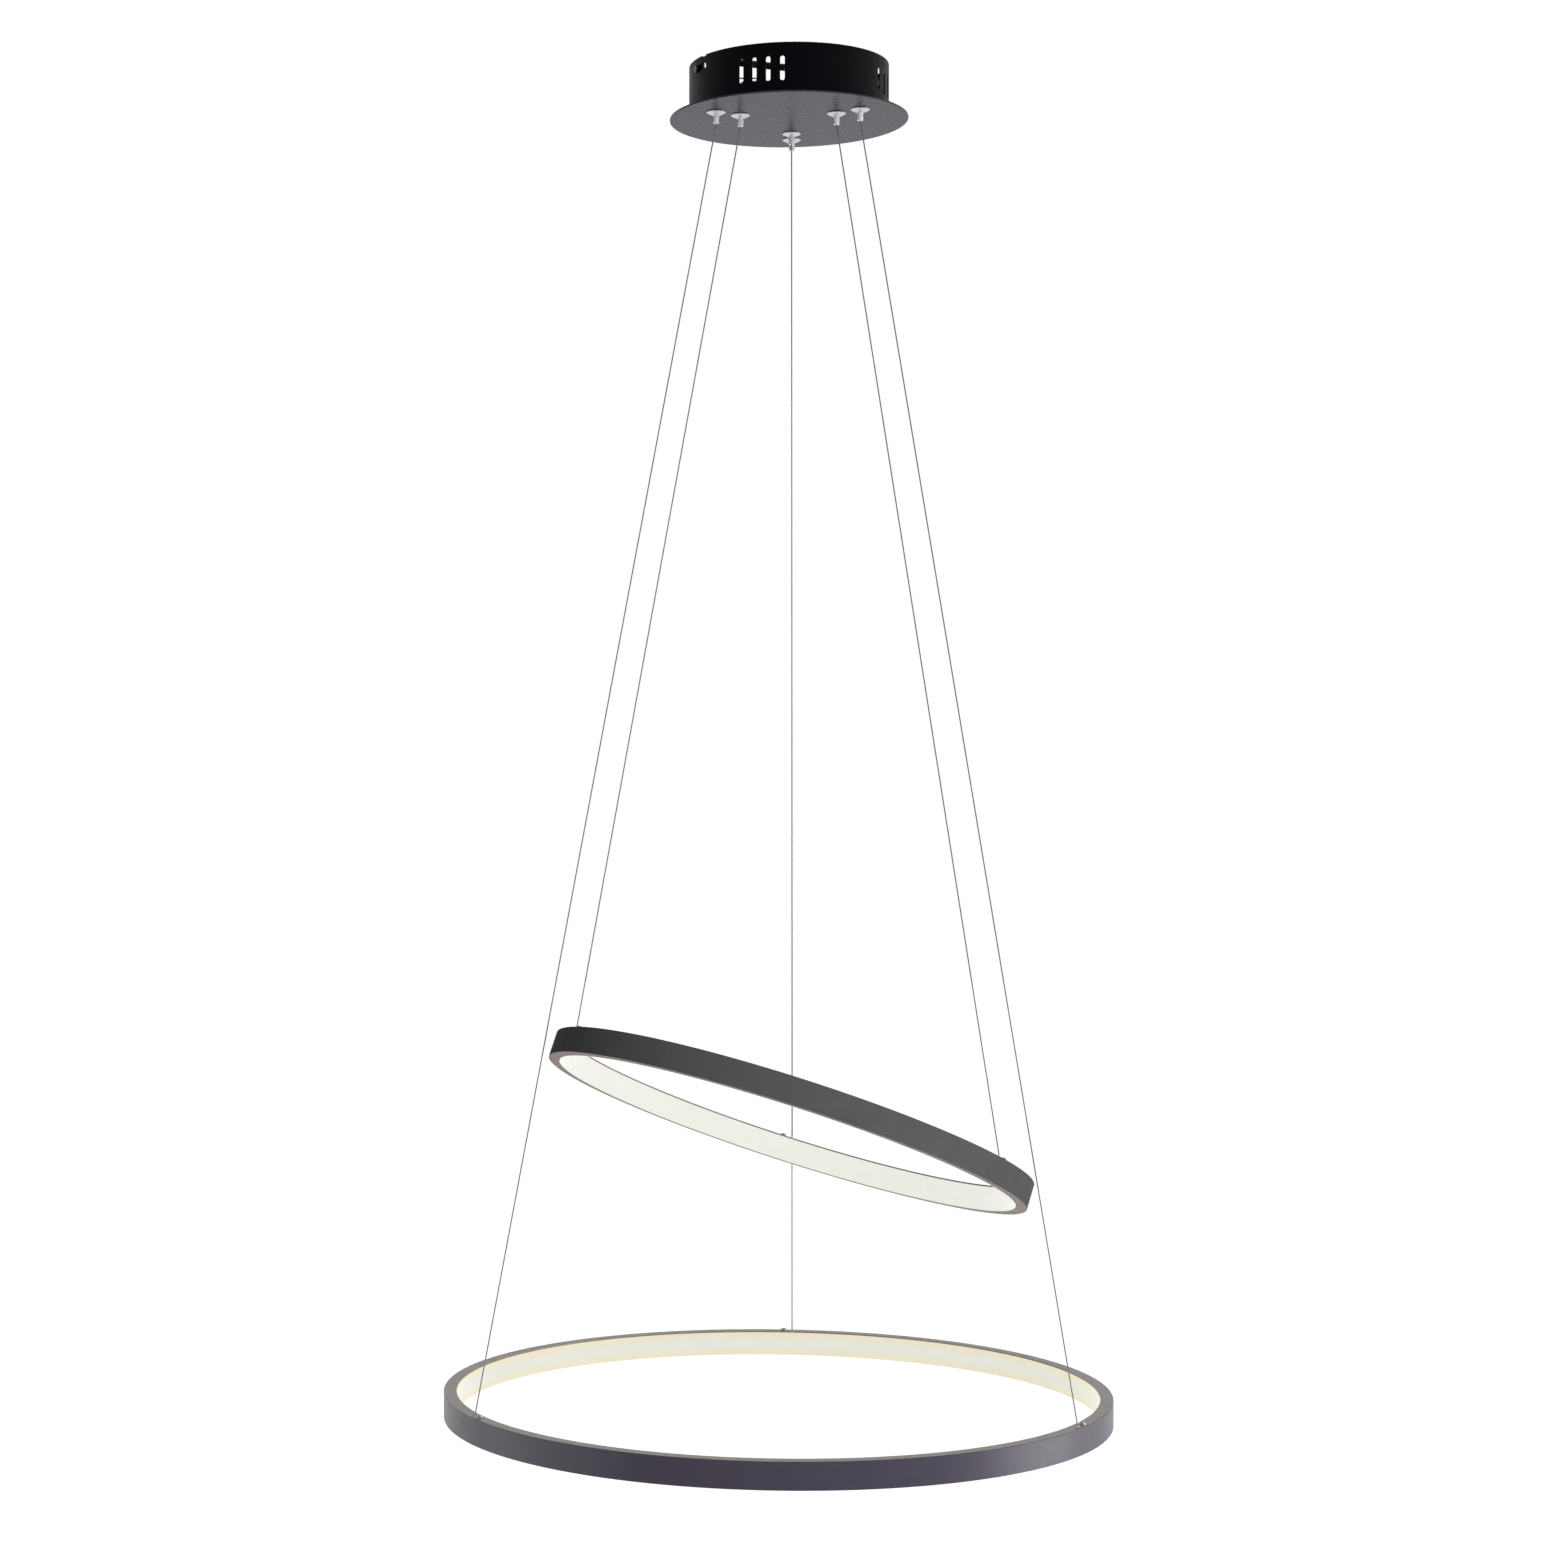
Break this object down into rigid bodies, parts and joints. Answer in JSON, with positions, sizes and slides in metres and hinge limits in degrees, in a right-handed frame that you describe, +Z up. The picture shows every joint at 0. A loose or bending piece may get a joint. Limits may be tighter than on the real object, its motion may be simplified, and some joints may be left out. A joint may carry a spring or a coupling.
{
  "type": "LED ring chandelier",
  "caption": "Ring chandelier with two LED rings, the upper one tilted, hung on thin wires from a round vented ceiling canopy; its ring heights adjust at wire grips.",
  "frame": {"origin": "centre of the canopy on the ceiling, in the plane of the bracket's top face", "axes": "+Z up out of the ceiling, -Y towards the picture's viewer, +X to the viewer's right"},
  "size_m": [0.6, 0.6, 1.217],
  "materials": {
    "black_steel": "satin",
    "zinc": "satin",
    "black_paint": "satin",
    "grey_paint": "satin",
    "driver_white": "matte",
    "foam": "matte",
    "terminal_plastic": "matte",
    "lead_cover": "satin",
    "earth_cover": "satin",
    "output_cover": "satin",
    "tin": "satin",
    "chrome": "polished",
    "ball_steel": "polished",
    "spring_steel": "satin",
    "wire_steel": "satin",
    "ring_grey": "satin",
    "ring_dark": "satin",
    "opal": "satin",
    "strip_white": "satin",
    "led_yellow": "satin",
    "block_plastic": "matte",
    "bush_white": "satin",
    "brass": "satin"
  },
  "bodies": {
    "bracket": {"ceiling_bracket": "black_steel", "bracket_screws": "black_steel"},
    "canopy": {"canopy_cup": "black_paint", "canopy_plate": "grey_paint", "driver_case": "driver_white", "driver_lid": "driver_white", "driver_pads": "foam", "terminal_block": "terminal_plastic", "input_leads": "lead_cover", "earth_stud": "zinc", "earth_lead": "earth_cover", "output_leads": "output_cover", "wire_crimps": "tin", "grip_bodies": "chrome", "grip_nuts": "chrome", "grip_caps": "chrome", "lower_back_grip_spring": "spring_steel", "lower_left_grip_spring": "spring_steel", "lower_right_grip_spring": "spring_steel", "upper_back_grip_spring": "spring_steel", "upper_left_grip_spring": "spring_steel", "upper_right_grip_spring": "spring_steel", "lower_back_wire": "wire_steel", "lower_left_wire": "wire_steel", "lower_right_wire": "wire_steel", "upper_back_wire": "wire_steel", "upper_left_wire": "wire_steel", "upper_right_wire": "wire_steel"},
    "lower_back_plunger": {"lower_back_grip_plunger": "chrome", "lower_back_grip_balls": "ball_steel"},
    "lower_left_plunger": {"lower_left_grip_plunger": "chrome", "lower_left_grip_balls": "ball_steel"},
    "lower_right_plunger": {"lower_right_grip_plunger": "chrome", "lower_right_grip_balls": "ball_steel"},
    "upper_back_plunger": {"upper_back_grip_plunger": "chrome", "upper_back_grip_balls": "ball_steel"},
    "upper_left_plunger": {"upper_left_grip_plunger": "chrome", "upper_left_grip_balls": "ball_steel"},
    "upper_right_plunger": {"upper_right_grip_plunger": "chrome", "upper_right_grip_balls": "ball_steel"},
    "lower_wire_ends": {"lower_front_stops": "brass"},
    "lower_ring": {"lower_profile": "ring_grey", "lower_diffuser": "opal", "lower_led_strip": "strip_white", "lower_leds": "led_yellow", "lower_clamp_blocks": "block_plastic", "lower_clamp_screws": "chrome", "lower_wire_bushes": "bush_white", "lower_back_stop": "brass"},
    "upper_wire_ends": {"upper_front_stops": "brass"},
    "upper_ring": {"upper_profile": "ring_dark", "upper_diffuser": "opal", "upper_led_strip": "strip_white", "upper_leds": "led_yellow", "upper_clamp_blocks": "block_plastic", "upper_clamp_screws": "chrome", "upper_wire_bushes": "bush_white", "upper_back_stop": "brass"}
  },
  "joints": [
    {"name": "canopy_turn", "type": "hinge", "parent": "bracket", "child": "canopy", "pos_m": [0, 0, 0], "axis": [0, 0, 1], "range_deg": [-8, 0]},
    {"name": "lower_back_release", "type": "slide", "parent": "canopy", "child": "lower_back_plunger", "axis": [0, 0, 1], "range_m": [0, 0.002], "stiffness_N_per_m": 400, "springref_m": -0.004, "deforming": ["lower_back_grip_spring"]},
    {"name": "lower_left_release", "type": "slide", "parent": "canopy", "child": "lower_left_plunger", "axis": [0, 0, 1], "range_m": [0, 0.002], "stiffness_N_per_m": 400, "springref_m": -0.004, "deforming": ["lower_left_grip_spring"]},
    {"name": "lower_right_release", "type": "slide", "parent": "canopy", "child": "lower_right_plunger", "axis": [0, 0, 1], "range_m": [0, 0.002], "stiffness_N_per_m": 400, "springref_m": -0.004, "deforming": ["lower_right_grip_spring"]},
    {"name": "upper_back_release", "type": "slide", "parent": "canopy", "child": "upper_back_plunger", "axis": [0, 0, 1], "range_m": [0, 0.002], "stiffness_N_per_m": 400, "springref_m": -0.004, "deforming": ["upper_back_grip_spring"]},
    {"name": "upper_left_release", "type": "slide", "parent": "canopy", "child": "upper_left_plunger", "axis": [0, 0, 1], "range_m": [0, 0.002], "stiffness_N_per_m": 400, "springref_m": -0.004, "deforming": ["upper_left_grip_spring"]},
    {"name": "upper_right_release", "type": "slide", "parent": "canopy", "child": "upper_right_plunger", "axis": [0, 0, 1], "range_m": [0, 0.002], "stiffness_N_per_m": 400, "springref_m": -0.004, "deforming": ["upper_right_grip_spring"]},
    {"name": "lower_ring_lift", "type": "slide", "parent": "canopy", "child": "lower_wire_ends", "axis": [0, 0, 1], "range_m": [0, 0.35], "deforming": ["lower_back_wire", "lower_left_wire", "lower_right_wire"]},
    {"name": "lower_ring_tilt", "type": "hinge", "parent": "lower_wire_ends", "child": "lower_ring", "pos_m": [-0.02211, -0.14278, -1.197], "axis": [0.9967, -0.0811, 0], "range_deg": [0, 12], "deforming": ["lower_back_wire"]},
    {"name": "upper_ring_lift", "type": "slide", "parent": "canopy", "child": "upper_wire_ends", "axis": [0, 0, 1], "range_m": [0, 0.04], "deforming": ["upper_back_wire", "upper_left_wire", "upper_right_wire"]},
    {"name": "upper_ring_tilt", "type": "hinge", "parent": "upper_wire_ends", "child": "upper_ring", "pos_m": [-0.01105, -0.09598, -0.92038], "axis": [0.94, -0.2078, -0.2705], "range_deg": [0, 12], "deforming": ["upper_back_wire"]}
  ]
}
